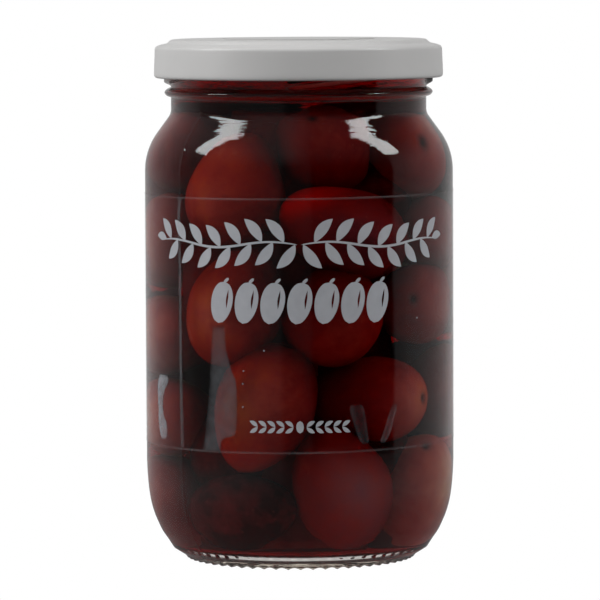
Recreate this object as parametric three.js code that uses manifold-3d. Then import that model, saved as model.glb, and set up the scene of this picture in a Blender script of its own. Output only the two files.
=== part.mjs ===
// A round glass jar of whole olives in brine, shut with a white twist-off lid and wrapped in a clear film.
// Millimetres, +Z up. The origin is on the floor below the jar's axis, and the front faces -Y.
import * as THREE from 'three';
import { mergeVertices } from 'three/addons/utils/BufferGeometryUtils.js';
import Module from 'manifold-3d';

const wasm = await Module();
wasm.setup();

// Glass
const BODY_RADIUS = 35.9;
const WALL = 2.2;
const RIM_HEIGHT = 118.7;
const NECK_RADIUS = 29.75;
const NECK_WALL = 2.5;
const SIDES = 48;
const HEEL_TOP = 20;
const BODY_TOP = 89;
const SHOULDER_FOOT = 90.5;
const SHOULDER_ARC = 15;
const SHOULDER_LEAN = THREE.MathUtils.degToRad(36);
const NECK_ARC = 3;
const NECK_FOOT = 104.8;

// Bearing ring and the little ridges under it
const RING_RADIUS = 25.6;
const RING_WIDTH = 1.8;
const RIDGES = 58;
const RIDGE_HEIGHT = 0.5;
const RIDGE_WIDTH = 1.5;
const RIDGE_TIP = 0.4;
const PUSH_UP = 2.6;

// Bead below the lid, and the four slanted lugs that the lid grips
const BEAD_HEIGHT = 108.7;
const BEAD_RADIUS = 31.25;
const LUGS = 4;
const LUG_REACH = 1.75;
const LUG_HALF_HEIGHT = 1;
const LUG_SPAN = THREE.MathUtils.degToRad(66);
const LUG_START = THREE.MathUtils.degToRad(176);
const LUG_LOW = 111.3;
const LUG_HIGH = 114.8;

// Lid, pressed from thin sheet
const LID_TOP = 121.2;
const LID_RADIUS = 33.65;
const LID_BOTTOM = 112.1;
const SHEET = 0.6;
const PLATEAU_RADIUS = 17.6;
const PLATEAU_RISE = 0.2;
const PANEL_RADIUS = 29.2;
const SEAL_GAP = 0.3;

// Clear printed film round the body, open in a narrow strip at the back
const FILM_GAP = 0.1;
const FILM_THICKNESS = 0.15;
const FILM_FOOT = 27.8;
const FILM_TOP = 85.8;
const FILM_TILT = 0.29;
const FILM_OPEN_SIDES = 2;

// Olives
const OLIVE_GAP = 0.35;
const OLIVE_ROUND = 9;
const OLIVE_ALONG = 7;
const OLIVE_TOP = 113;
const CORE_RADIUS = 18;
const CORE_FOOT = 9;
const CORE_TOP = 104;

// The olives that show from the front, each as azimuth from the front, positive to the right, height of the
// middle, length, width, lean to the right, tilt outwards of the upper end, and distance in from the wall,
// in millimetres and degrees.
const FRONT_OLIVES = [
  [-36, 86, 24.5, 20.8, 26, 0, 0],
  [19, 95, 25, 18.5, 155, -50, 1],
  [83, 92.5, 23, 18.5, 112, -30, 0],
  [25, 78.2, 30, 20.4, -75, 0, 0.6],
  [19, 58.4, 24, 20.6, 10, 8, 1.4],
  [-35, 60.2, 28.5, 20.4, 20, 0, 0],
  [-17, 37.2, 31, 20.2, 200, 0, 0],
  [40, 38.4, 27.5, 19.4, -93, -52, 0],
  [75, 60, 23, 18.5, 98, -20, 0],
  [84, 76, 21, 17, -80, 0, 0],
  [23, 19.6, 28, 20.4, -20, 0, 0],
  [80, 17.6, 26, 19.5, 143, -20, 0],
  [-34, 13.9, 25, 15.5, 85, 0, 5],
  [-92, 52.5, 24, 18.5, 75, 0, 0],
  [-84, 33.5, 24, 18, 85, 0, 0],
  [-92, 15.2, 24, 18, 75, 0, 0.5],
  [-92, 74.5, 24, 19.5, 35, 0, 0],
  [-94, 94.5, 21, 17.5, 60, 0, 0],
];

// The olives round the back, in the same order.
const BACK_OLIVES = [
  [100, 38.5, 22, 16, 12, 0, 0],
  [137, 15.8, 25, 17.5, 82, 0, 0.8],
  [204, 16, 25, 17.5, 98, 0, 0.8],
  [140, 38, 25, 18, -12, 0, 0],
  [184, 38.6, 25.5, 18.2, 10, 0, 0],
  [228, 37.6, 24, 17.8, 172, 0, 0],
  [131, 60.5, 25, 18, 80, 0, 0],
  [192, 60.5, 26, 18.5, 100, 0, 0],
  [132, 81, 25, 18, 8, 0, 0],
  [177, 81.5, 25, 18.2, -14, 0, 0],
  [222, 80.5, 25, 18, 166, 0, 0],
  [142, 101.5, 22, 16.5, 84, 0, 0],
  [208, 101, 22, 16.5, 95, 0, 0],
];

/** A closed mesh as a solid for cutting and joining. */
function solidOf(geometry) {
  const bare = geometry.clone();
  bare.deleteAttribute('normal');
  bare.deleteAttribute('uv');
  const merged = mergeVertices(bare, 1e-4);
  return new wasm.Manifold(new wasm.Mesh({
    numProp: 3,
    vertProperties: merged.attributes.position.array,
    triVerts: new Uint32Array(merged.index.array),
  }));
}

/** A solid as three.js geometry. */
function geometryOf(solid) {
  const mesh = solid.getMesh();
  const geometry = new THREE.BufferGeometry();
  geometry.setAttribute('position', new THREE.BufferAttribute(mesh.vertProperties, 3));
  geometry.setIndex(new THREE.BufferAttribute(mesh.triVerts, 1));
  geometry.computeVertexNormals();
  return geometry;
}

/** A profile of radius and height, turned round the Z axis. */
function turned(profile, sides) {
  return new THREE.LatheGeometry(profile, sides).rotateX(Math.PI / 2);
}

/** Points along a smooth curve through the given radius and height pairs. */
function smooth(pairs, steps) {
  const curve = new THREE.SplineCurve(pairs.map(([radius, height]) => new THREE.Vector2(radius, height)));
  return curve.getPoints(steps);
}

/** The same radius and height pairs as plain points. */
function straight(pairs) {
  return pairs.map(([radius, height]) => new THREE.Vector2(radius, height));
}

/** Radius of the jar's inner wall at a height, as it narrows to the neck. */
function innerRadius(height) {
  const body = BODY_RADIUS - WALL;
  const neck = NECK_RADIUS - NECK_WALL;
  return THREE.MathUtils.lerp(body, neck, THREE.MathUtils.smoothstep(height, BODY_TOP, NECK_FOOT));
}

/** The jar's inside, from the middle of its floor up to the foot of the neck, drawn in by a clearance. */
function roomProfile(clearance) {
  const corner = [[25.5, 5.4], [29.3, 7.2], [31.7, 10.5], [33.1, 15], [BODY_RADIUS - WALL, HEEL_TOP + 1]];
  const floor = [...straight([[0, 6.6], [14, 6.3]]), ...smooth(corner, 4)];
  const room = floor.map((point) => new THREE.Vector2(Math.max(point.x - clearance, 0), point.y + clearance));
  for (let step = 0; step <= 5; step += 1) {
    const height = THREE.MathUtils.lerp(BODY_TOP, NECK_FOOT, step / 5);
    room.push(new THREE.Vector2(innerRadius(height) - clearance, height));
  }
  return room;
}

/** The jar's outer shoulder: a convex arc, a slope and a concave arc into the neck, each tangent to the next. */
function shoulderProfile() {
  const arcMiddle = BODY_RADIUS - SHOULDER_ARC;
  const points = [new THREE.Vector2(BODY_RADIUS, SHOULDER_FOOT)];
  for (let step = 1; step <= 5; step += 1) {
    const turn = (SHOULDER_LEAN * step) / 5;
    points.push(new THREE.Vector2(
      arcMiddle + SHOULDER_ARC * Math.cos(turn),
      SHOULDER_FOOT + SHOULDER_ARC * Math.sin(turn),
    ));
  }
  const slopeFoot = points[points.length - 1];
  const inset = NECK_ARC * (1 - Math.cos(SHOULDER_LEAN));
  const slope = (slopeFoot.x - NECK_RADIUS - inset) / Math.tan(SHOULDER_LEAN);
  const neckFoot = slopeFoot.y + slope + NECK_ARC * Math.sin(SHOULDER_LEAN);
  points.push(new THREE.Vector2(NECK_RADIUS + inset, slopeFoot.y + slope));
  points.push(new THREE.Vector2(NECK_RADIUS, neckFoot));
  return points;
}

/** The hollow jar: foot, heel, straight body, shoulder, neck, bead and rim, then back down the inside. */
function jarProfile() {
  const foot = straight([
    [0, RIDGE_HEIGHT + PUSH_UP],
    [12, RIDGE_HEIGHT + PUSH_UP * 0.78],
    [21, RIDGE_HEIGHT + PUSH_UP * 0.3],
    [RING_RADIUS - RING_WIDTH / 2, RIDGE_HEIGHT],
    [RING_RADIUS + RING_WIDTH / 2, RIDGE_HEIGHT],
  ]);
  const heel = smooth([[29.9, 2.6], [32.4, 6.4], [34.1, 10.2], [35.3, 14.8], [BODY_RADIUS, HEEL_TOP]], 6);
  const finish = straight([
    [NECK_RADIUS, BEAD_HEIGHT - 1],
    [BEAD_RADIUS - 0.3, BEAD_HEIGHT - 0.7],
    [BEAD_RADIUS, BEAD_HEIGHT],
    [BEAD_RADIUS - 0.3, BEAD_HEIGHT + 0.7],
    [NECK_RADIUS, BEAD_HEIGHT + 1.1],
    [NECK_RADIUS, RIM_HEIGHT - 0.9],
    [NECK_RADIUS - 0.7, RIM_HEIGHT],
    [NECK_RADIUS - NECK_WALL + 0.7, RIM_HEIGHT],
    [NECK_RADIUS - NECK_WALL, RIM_HEIGHT - 0.9],
  ]);
  return [...foot, ...heel, ...shoulderProfile(), ...finish, ...roomProfile(0).reverse()];
}

/** Short ridges across the bearing ring, with narrow flat tips for the jar to stand on. */
function footRidge(number) {
  const section = new THREE.Shape([
    new THREE.Vector2(-RIDGE_WIDTH / 2, RIDGE_HEIGHT + 0.2),
    new THREE.Vector2(-RIDGE_TIP / 2, 0),
    new THREE.Vector2(RIDGE_TIP / 2, 0),
    new THREE.Vector2(RIDGE_WIDTH / 2, RIDGE_HEIGHT + 0.2),
  ]);
  const ridge = new THREE.ExtrudeGeometry(section, { depth: RING_WIDTH - 0.3, bevelEnabled: false });
  ridge.rotateX(Math.PI / 2);
  ridge.translate(0, -RING_RADIUS + (RING_WIDTH - 0.3) / 2, 0);
  ridge.rotateZ((number / RIDGES) * 2 * Math.PI);
  return ridge;
}

/** The middle line of one lug: an arc round the neck that climbs as it goes. */
class ClimbingArc extends THREE.Curve {
  constructor(start) {
    super();
    this.start = start;
  }

  getPoint(along, target = new THREE.Vector3()) {
    const azimuth = this.start + along * LUG_SPAN;
    const height = THREE.MathUtils.lerp(LUG_LOW, LUG_HIGH, along);
    return target.set(Math.cos(azimuth) * NECK_RADIUS, Math.sin(azimuth) * NECK_RADIUS, height);
  }
}

/** A lug of rounded section, half sunk in the neck. */
function threadLug(number) {
  const section = new THREE.Shape();
  section.absellipse(0, 0, LUG_HALF_HEIGHT, LUG_REACH, 0, 2 * Math.PI);
  const start = LUG_START + (number / LUGS) * 2 * Math.PI;
  return new THREE.ExtrudeGeometry(section, { curveSegments: 4, steps: 10, extrudePath: new ClimbingArc(start) });
}

function makeJar() {
  let jar = solidOf(turned(jarProfile(), SIDES));
  for (let number = 0; number < RIDGES; number += 1) {
    jar = jar.add(solidOf(footRidge(number)));
  }
  for (let number = 0; number < LUGS; number += 1) {
    jar = jar.add(solidOf(threadLug(number)));
  }
  return geometryOf(jar);
}

/** The lid: curl, skirt, low outer ring, raised panel with a plateau, and a seal over the jar's rim. */
function makeLid() {
  const panelTop = LID_TOP - PLATEAU_RISE;
  const sealFoot = RIM_HEIGHT + SEAL_GAP;
  const skirtInside = LID_RADIUS - 0.2 - SHEET;
  const curlInside = NECK_RADIUS + LUG_REACH + 0.5;
  const profile = straight([
    [0, LID_TOP - SHEET],
    [PLATEAU_RADIUS - 1, LID_TOP - SHEET],
    [PLATEAU_RADIUS + 0.5, panelTop - SHEET],
    [26.9, panelTop - SHEET],
    [27.4, sealFoot],
    [32.2, sealFoot],
    [skirtInside, sealFoot - 0.7],
    [skirtInside, LID_BOTTOM + 1.8],
    [curlInside, LID_BOTTOM + 1.3],
    [curlInside, LID_BOTTOM + 0.5],
    [curlInside + 0.4, LID_BOTTOM],
    [LID_RADIUS - 0.6, LID_BOTTOM],
    [LID_RADIUS - 0.15, LID_BOTTOM + 0.3],
    [LID_RADIUS, LID_BOTTOM + 0.8],
    [LID_RADIUS, LID_BOTTOM + 1.3],
    [LID_RADIUS - 0.2, 118.7],
    [33.2, 119.35],
    [32.6, 119.7],
    [31.3, 120.02],
    [30.4, 120.3],
    [29.8, panelTop - 0.15],
    [PANEL_RADIUS, panelTop],
    [PLATEAU_RADIUS + 0.3, panelTop],
    [PLATEAU_RADIUS - 0.5, LID_TOP],
    [0, LID_TOP],
  ]);
  return geometryOf(solidOf(turned(profile, SIDES)));
}

/** The film: a thin open band round the glass, with both edges slightly tilted. */
function makeFilm() {
  const turn = (2 * Math.PI) / SIDES;
  const start = Math.PI / 2 + (FILM_OPEN_SIDES / 2) * turn;
  const steps = SIDES - FILM_OPEN_SIDES;
  const inner = BODY_RADIUS + FILM_GAP;
  const corners = [];
  for (let step = 0; step <= steps; step += 1) {
    corners.push([inner + FILM_THICKNESS, start + step * turn]);
  }
  for (let step = steps; step >= 0; step -= 1) {
    corners.push([inner, start + step * turn]);
  }
  const band = new THREE.Shape(corners.map(
    ([radius, azimuth]) => new THREE.Vector2(Math.cos(azimuth) * radius, Math.sin(azimuth) * radius),
  ));
  const film = new THREE.ExtrudeGeometry(band, { depth: FILM_TOP - FILM_FOOT, bevelEnabled: false });
  film.translate(0, 0, FILM_FOOT);
  const place = film.attributes.position;
  for (let corner = 0; corner < place.count; corner += 1) {
    const lift = (FILM_TILT * place.getX(corner)) / BODY_RADIUS;
    place.setZ(corner, place.getZ(corner) + lift);
  }
  return geometryOf(solidOf(film));
}

/** One olive: round across, longer than wide, narrowing to its upper end, against the jar's wall. */
function makeOlive([azimuth, height, length, width, lean, tilt, inset]) {
  const olive = new THREE.SphereGeometry(1, OLIVE_ROUND, OLIVE_ALONG).rotateX(Math.PI / 2);
  const place = olive.attributes.position;
  for (let corner = 0; corner < place.count; corner += 1) {
    const along = place.getZ(corner);
    const breadth = (width / 2) * (1 - 0.1 * along);
    place.setXYZ(corner, place.getX(corner) * breadth, place.getY(corner) * breadth, (along * length) / 2);
  }
  const slope = THREE.MathUtils.degToRad(tilt);
  const depth = Math.hypot((length / 2) * Math.sin(slope), (width / 2) * Math.cos(slope));
  olive.rotateX(slope);
  olive.rotateY(THREE.MathUtils.degToRad(lean));
  olive.translate(0, -(innerRadius(height + length / 4) - OLIVE_GAP - depth - inset), 0);
  olive.rotateZ(THREE.MathUtils.degToRad(azimuth));
  olive.translate(0, 0, height);
  return olive;
}

/** The heap: a plain core with every olive fused on, trimmed where an olive presses on the jar. */
function makeHeap() {
  const core = turned(straight([
    [0, CORE_FOOT],
    [CORE_RADIUS - 2, CORE_FOOT],
    [CORE_RADIUS, CORE_FOOT + 4],
    [CORE_RADIUS, CORE_TOP - 4],
    [CORE_RADIUS - 2, CORE_TOP],
    [0, CORE_TOP],
  ]), 16);
  let heap = solidOf(core);
  for (const olive of [...FRONT_OLIVES, ...BACK_OLIVES]) {
    heap = heap.add(solidOf(makeOlive(olive)));
  }
  const neckRoom = straight([[NECK_RADIUS - NECK_WALL - OLIVE_GAP, OLIVE_TOP], [0, OLIVE_TOP]]);
  heap = heap.intersect(solidOf(turned([...roomProfile(OLIVE_GAP), ...neckRoom], SIDES / 2)));
  const pieces = heap.decompose().sort((one, other) => other.volume() - one.volume());
  return geometryOf(pieces[0]);
}

const glass = new THREE.MeshStandardMaterial({
  color: 0xdfe8e2, roughness: 0.05, metalness: 0, transparent: true, opacity: 0.35,
});
const enamel = new THREE.MeshStandardMaterial({ color: 0xf1f1ef, roughness: 0.35, metalness: 0 });
const clearFilm = new THREE.MeshStandardMaterial({
  color: 0xd8d8da, roughness: 0.12, metalness: 0, transparent: true, opacity: 0.3,
});
const oliveSkin = new THREE.MeshStandardMaterial({ color: 0x41110d, roughness: 0.4, metalness: 0 });

const jarOfOlives = new THREE.Group();

function addPiece(name, geometry, material) {
  const piece = new THREE.Mesh(geometry, material);
  piece.name = name;
  jarOfOlives.add(piece);
}

addPiece('glass_jar', makeJar(), glass);
addPiece('lid', makeLid(), enamel);
addPiece('label_film', makeFilm(), clearFilm);
addPiece('olives', makeHeap(), oliveSkin);

export default jarOfOlives;
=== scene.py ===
"""Looks of a shut jar of whole olives in dark red brine, in the frame of its solids.

Shapes are given in millimetres and turned to metres when a mesh is made. Azimuth is measured from the
front, which faces -Y, and is positive to the right.
"""
import math

import bmesh
import bpy
import numpy as np
from mathutils import Matrix, Vector


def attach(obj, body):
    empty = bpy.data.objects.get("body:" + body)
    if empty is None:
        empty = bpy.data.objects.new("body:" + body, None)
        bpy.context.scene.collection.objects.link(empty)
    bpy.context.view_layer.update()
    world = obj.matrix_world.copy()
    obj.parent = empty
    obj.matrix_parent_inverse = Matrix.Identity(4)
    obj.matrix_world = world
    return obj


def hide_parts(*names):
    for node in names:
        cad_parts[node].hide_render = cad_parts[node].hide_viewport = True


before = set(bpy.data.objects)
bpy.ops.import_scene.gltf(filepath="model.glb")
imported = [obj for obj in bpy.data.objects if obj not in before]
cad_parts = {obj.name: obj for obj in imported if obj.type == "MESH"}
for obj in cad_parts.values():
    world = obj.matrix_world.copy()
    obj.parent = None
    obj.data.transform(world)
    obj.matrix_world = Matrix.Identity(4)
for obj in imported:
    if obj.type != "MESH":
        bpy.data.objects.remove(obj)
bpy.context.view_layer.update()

MM = 0.001

# Camera, in millimetres and radians
CAMERA_BACK = 1050.0
CAMERA_HEIGHT = 140.0
CAMERA_RIGHT = 0.116
CAMERA_PITCH = 0.0760
CAMERA_ROLL = 0.0045
CAMERA_LENS = 270.2

# Studio, in metres. A brightness of 1 is the white of the background.
JAR_MIDDLE = Vector((0, 0, 0.06))
FLOOR_REACH = 4.0
FLOOR_MIRRORED = 0.14
FLOOR_MIRRORED_ASIDE = 0.36
FLOOR_THROUGH = 1.0
FLOOR_PAINTED_SHADE = 0.05
CEILING_LEFT = 0.24
CEILING_RIGHT = 0.07
BACKDROP_LIGHT = 0.3
BACKDROP_THROUGH = 0.9
LIGHT_IN_FRONT = 0.02
# Walls that the glass mirrors: azimuth in degrees from the front, and how bright they are there.
WALL_BEHIND = 0.45
MIRRORED_WALLS = [
    (-150, 0.5), (-122, 0.36), (-103, 0.2), (-99, 0.11), (-15, 0.11), (-12, 0.045), (8, 0.045), (10, 0.0),
    (73, 0.0), (76, 0.2), (120, 0.36), (150, 0.52)]
# Lamps: name, direction from the jar, distance, width, height, power in watts, and whether gloss mirrors it.
LAMPS = [
    ("box_left", (-0.7, -0.05, 0.7), 1.0, 0.23, 0.62, 3.5, True),
    ("box_right", (0.687, -0.134, 0.7), 1.0, 0.23, 0.62, 3.7, True),
    ("fill_left", (-1, -0.3, 0.35), 1.0, 0.4, 0.6, 2.3, False),
    ("fill_front", (0, -1, 0.25), 1.3, 1.6, 0.9, 5.2, False)]

# Glass
GLASS_INDEX = 1.5
BRINE_INDEX = 1.34
BODY_RADIUS = 35.9
WALL = 2.2
HEEL_TOP = 23.0
BODY_TOP = 88.5
SHOULDER_FOOT = 90.5
SHOULDER_ARC = 15.0
SHOULDER_LEAN = 36.0
NECK_ARC = 3.0
NECK_RADIUS = 29.75
NECK_WALL = 2.5
NECK_FOOT = 104.8
RIM_HEIGHT = 118.7
RIM_ROUND = 1.25
RIDGES = 58
RIDGE_HEIGHT = 0.5
RIDGE_COLUMNS = 6
# Radii at which the foot's ridges begin, are whole, begin to fade and end
RIDGE_BAND = (24.0, 25.0, 26.3, 27.4)
BEAD_HEIGHT = 108.75
BEAD_RADIUS = 31.24
BEAD_HALF = 1.2
LUGS = 4
LUG_REACH = 1.6
LUG_START = -97.0
LUG_SPAN = 72.0
LUG_LOW = 111.0
LUG_HIGH = 115.0
SEAM_AZIMUTH = -48.8
SEAM_WIDTH = 0.4
SEAM_RISE = 0.06
# Columns of the mesh beside a seam, in millimetres round the body
SEAM_COLUMNS = (-0.6, -0.3, -0.15, 0, 0.15, 0.3, 0.6)
# Radius and height of the points that the glass's curves go through
FLOOR_INSIDE = [(0, 5.6), (8, 5.4), (14, 4.9), (20, 4.0), (25.5, 3.1)]
HEEL_INSIDE = [(25.5, 3.1), (28.6, 4.2), (31.2, 7.6), (32.9, 13.0), (BODY_RADIUS - WALL, 21)]
PUSH_UP = [(0, 3.1), (8, 2.95), (14, 2.5), (19, 1.75), (22.5, 0.95), (24.5, 0.55)]
RING_INNER = (24.5, 0.52)
RING_OUTER = (26.6, 0.5)
CHAMFER_TOP = (29.85, 2.55)
HEEL_OUTSIDE = [
    CHAMFER_TOP, (31.1, 4.5), (32.4, 6.4), (33.3, 8.3), (34.1, 10.2), (34.85, 12.7), (35.4, 15.8),
    (35.75, 19.6), (BODY_RADIUS, HEEL_TOP)]
NECK_INSIDE_ROWS = 4

# Brine
LEVEL = 114.5
# How much higher it stands where it wets the glass, and how far its mesh reaches into the wall
CREEP = 0.5
INTO_WALL = 0.08

# Lid
LID_TOP = 121.2
LID_RADIUS = 33.65
LID_BOTTOM = 112.1
SHEET = 0.6
PLATEAU_RADIUS = 17.6
PLATEAU_RISE = 0.2
PANEL_RADIUS = 29.2
SKIRT_LEAN = 0.2
# Points from the top of the skirt over the low ring
LID_CROWN = [
    (LID_RADIUS - SKIRT_LEAN, 118.6), (33.38, 119.0), (33.15, 119.35), (32.6, 119.62), (32.1, 119.8),
    (31.15, 120.0), (30.7, 120.12), (30.3, 120.4), (30.0, 120.7), (29.6, 120.92)]
LID_COLUMNS = 240

# Film
FILM_RADIUS = 36.0
FILM_THICKNESS = 0.06
FILM_FOOT = 27.8
FILM_TOP = 85.8
FILM_TILT = 0.29
FILM_HALF_TURN = 172.5
TENT_RISE = 0.14
TENT_WIDTH = 0.9
# Share of the film's height that is its cut edge
EDGE_PART = 0.005

# Print and marks on the film, in millimetres round the film from the front and up
INK_ABOVE = 0.04
INK_BELOW = -0.01
GARLAND_MIDDLE = 75.2
GARLAND_REACH = 39.4
GARLAND_SWAY = 0.7
GARLAND_BEND = 4.2
STEM_WIDTH = 0.55
LEAVES = 14
LEAF_START = 0.9
LEAF_PITCH = 2.55
LEAF_LENGTH = 6.9
LEAF_SHRINK = 0.09
LEAF_WIDTH = 2.5
LEAF_ANGLE = 52
ROW_MIDDLE = 62.0
ROW_PITCH = 6.15
ROW_FRUITS = 7
FRUIT_WIDTH = 5.5
FRUIT_HEIGHT = 9.6
FRUIT_LEAN = 11
# The glint's lower end, upper end and place to the right, as shares of half a fruit's height and width
GLINT_START = -0.25
GLINT_END = 0.7
GLINT_SIDE = 0.56
DIVIDER_MIDDLE = 33.9
DIVIDER_HEIGHT = 2.8
DIVIDER_WIDTH = 1.7
DIVIDER_LEAVES = 5
DIVIDER_PITCH = 2.05
# Marks: height, left side, right side and strength of each, from the top down.
# The first of these paints a reflection: a pale milky band on the film, left of the front.
PAINTED_REFLECTION_BAND = [
    (56.6, -21.1, -17.6, 0.0), (55.4, -21.1, -17.6, 0.6), (51.7, -21.3, -17.4, 0.8), (46.6, -21.6, -16.0, 1),
    (43.8, -21.8, -14.9, 1), (38.0, -22.3, -14.7, 1), (33.2, -23.0, -14.9, 1), (31.7, -23.1, -15.6, 1),
    (30.7, -23.3, -18.4, 1), (28.1, -23.8, -19.0, 0.9)]
PASTE_STREAK = [
    (44.4, -40.0, -36.4, 0.2), (43.8, -40.3, -35.6, 0.9), (42.6, -40.9, -35.8, 1), (41.3, -41.3, -36.8, 1),
    (39.8, -41.2, -37.7, 1), (38.0, -41.0, -38.2, 0.9), (36.2, -40.8, -38.2, 1), (34.6, -40.9, -37.6, 1),
    (33.4, -40.8, -36.5, 1), (31.4, -40.4, -36.3, 0.9), (30.2, -39.8, -36.5, 0.9), (29.4, -39.0, -37.2, 0.2)]
PASTE_TONGUE = [
    (38.8, 11.6, 14.4, 0.2), (38.0, 11.3, 15.0, 0.8), (36.5, 11.5, 15.4, 0.7), (34.8, 12.1, 15.7, 0.7),
    (33.0, 12.7, 15.9, 0.8), (31.4, 13.3, 16.1, 1), (30.3, 13.9, 16.2, 1), (29.7, 14.6, 15.6, 0.3)]
PASTE_DRIP = [
    (38.4, 22.5, 23.8, 0.3), (36.8, 21.7, 23.6, 0.9), (35.0, 20.9, 23.0, 1), (33.2, 20.2, 22.5, 1),
    (31.6, 19.6, 21.8, 1), (30.4, 19.1, 20.9, 1), (29.7, 19.3, 20.2, 0.3)]
TENT_LINE = [
    (85.4, -31.0, -29.8, 0.6), (81.0, -31.8, -30.6, 1), (70.0, -31.3, -30.2, 1), (60.0, -31.2, -30.2, 0.9),
    (45.0, -31.1, -30.1, 1), (28.3, -30.8, -29.6, 0.8)]
# Each mark's rows, its greatest strength, and how strong it is from its left side to its right
MARKS = [
    (PAINTED_REFLECTION_BAND, 0.07, (0.3, 0.75, 1, 1, 1, 1, 1, 1, 0.8)),
    (PASTE_STREAK, 0.45, (0.2, 0.9, 1, 0.9, 0.8, 0.7, 0.6, 0.5, 0.1)),
    (PASTE_TONGUE, 0.05, (0, 1, 0.9, 0.5, 0.4, 0.4, 0.5, 0.9, 0)),
    (PASTE_DRIP, 0.07, (0, 0.9, 0.7, 0.5, 0.5, 0.6, 0.9, 1, 0)),
    (TENT_LINE, 0.07, (0, 0.8, 1, 1, 1, 1, 1, 0.8, 0))]
# Tiny specks of trapped dust: distance round the film from the front, and height
SPECKS = [(-13.0, 46.3), (-13.2, 43.4), (-13.2, 38.1), (42.7, 46.5), (-8.1, 51.0), (30.2, 57.5)]
SPECK_LENGTH = 0.45
SPECK_WIDTH = 0.4
SPECK_STRENGTH = 0.35

# Olives that show from the front: azimuth, height of the middle, length, width, lean to the right,
# tilt outwards of the upper end and distance in from the wall, in millimetres and degrees. Then the shade,
# the direction in which it gets lighter, clockwise from up, by how much it does, and how strong a painted
# red glow is on its edge on that side: painted light.
FRONT_OLIVES = [
    (-36, 86.0, 24.5, 20.8, 26, 0, 0.0, 0.57, -15, 0.13, 0),
    (19, 95.6, 25, 18.5, 144, -44, 1.0, 0.38, 60, 0.06, 0.35),
    (83, 92.5, 23, 18.5, 112, -45, 0.0, 0.6, 40, 0.1, 0.8),
    (24, 77.6, 30, 20.2, -66, 0, 0.6, 0.2, -25, 0.06, 0.8),
    (19, 58.4, 24, 20.6, 10, 8, 1.4, 0.42, 120, 0.07, 0.5),
    (-35, 60.2, 28.5, 20.4, 20, 0, 0.0, 0.58, -90, 0.14, 0),
    (-19, 37.2, 31, 21.0, 200, 0, 0.0, 0.62, -80, 0.18, 0),
    (42.5, 38.4, 28.5, 19.4, -93, -58, 0.0, 0.45, 90, 0.2, 0),
    (75, 60, 23, 18.5, 98, -20, 0.0, 0.45, 90, 0.06, 0),
    (84, 76, 21, 17, -80, 0, 0.0, 0.42, 90, 0.06, 0),
    (21.6, 19.6, 28, 20.6, -20, 0, 0.0, 0.32, -60, 0.06, 0),
    (80, 17.6, 26, 19.5, 143, -20, 0.0, 0.86, 90, 0.12, 0),
    (-34, 13.9, 25, 15.5, 85, 0, 5.0, 0.05, 0, 0.04, 0),
    (-92, 52.5, 24, 18.5, 75, 0, 0.0, 0.85, -90, 0.15, 0),
    (-84, 33.5, 24, 18, 85, 0, 0.0, 0.8, -90, 0.2, 0),
    (-92, 15.2, 24, 18, 75, 0, 0.5, 0.7, -90, 0.25, 0),
    (-92, 74.5, 24, 19.5, 35, 0, 0.0, 0.78, -90, 0.2, 0),
    (-94, 94.5, 21, 17.5, 60, 0, 0.0, 0.6, -90, 0.2, 0),
]
# The olives behind them and down the middle, in the same order.
BACK_OLIVES = [
    (100, 38.5, 22, 16.0, 12, 0, 0.0, 0.5, 40, 0.1, 0),
    (137, 15.8, 25, 17.5, 82, 0, 0.8, 0.4, -60, 0.1, 0),
    (204, 16.0, 25, 17.5, 98, 0, 0.8, 0.7, 100, 0.1, 0),
    (140, 38.0, 25, 18.0, -12, 0, 0.0, 0.2, 10, 0.1, 0),
    (184, 38.6, 25.5, 18.2, 10, 0, 0.0, 0.9, -120, 0.1, 0),
    (228, 37.6, 24, 17.8, 172, 0, 0.0, 0.5, 80, 0.1, 0),
    (131, 60.5, 25, 18.0, 80, 0, 0.0, 0.7, -30, 0.1, 0),
    (192, 60.5, 26, 18.5, 100, 0, 0.0, 0.3, 150, 0.1, 0),
    (132, 81.0, 25, 18.0, 8, 0, 0.0, 0.1, 60, 0.1, 0),
    (177, 81.5, 25, 18.2, -14, 0, 0.0, 0.8, -90, 0.1, 0),
    (222, 80.5, 25, 18.0, 166, 0, 0.0, 0.4, 20, 0.1, 0),
    (142, 101.5, 22, 16.5, 84, 0, 0.0, 0.6, -150, 0.1, 0),
    (208, 101.0, 22, 16.5, 95, 0, 0.0, 0.2, 90, 0.1, 0),
    (-8, 24.0, 25, 19.0, 14, 0, 17.0, 0.55, 0, 0.06, 0.3),
    (22, 48.0, 25, 19.0, -20, 0, 17.0, 0.55, 0, 0.06, 0.3),
    (-12, 70.0, 25, 19.0, 12, 0, 17.0, 0.5, 0, 0.06, 0.3),
    (10, 90.0, 23, 18.0, -60, 0, 15.0, 0.5, 0, 0.06, 0.3),
    # The next five fill gaps. All but the second are nearly black, which paints shade into the gaps between
    # the olives in front.
    (47, 50.5, 24, 17.0, 20, 0, 12.5, 0.0, 0, 0.0, 0),
    (-64, 65.0, 24, 17.0, -10, 0, 8.5, 0.3, 0, 0.06, 0),
    (-54, 27.0, 24, 17.0, 15, 0, 9.0, 0.1, 0, 0.06, 0),
    (60, 83.0, 22, 16.0, 15, 0, 10.0, 0.03, 0, 0.03, 0),
    (53, 27.5, 20, 15.0, 10, 0, 9.0, 0.03, 0, 0.03, 0),
    (172, 27.0, 25, 19.0, -16, 0, 17.0, 0.5, 0, 0.06, 0),
    (196, 50.0, 25, 19.0, 18, 0, 17.0, 0.4, 0, 0.06, 0),
    (165, 73.0, 25, 19.0, -12, 0, 17.0, 0.45, 0, 0.06, 0),
    (185, 94.0, 23, 18.0, 30, 0, 14.0, 0.4, 0, 0.06, 0),
]
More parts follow.
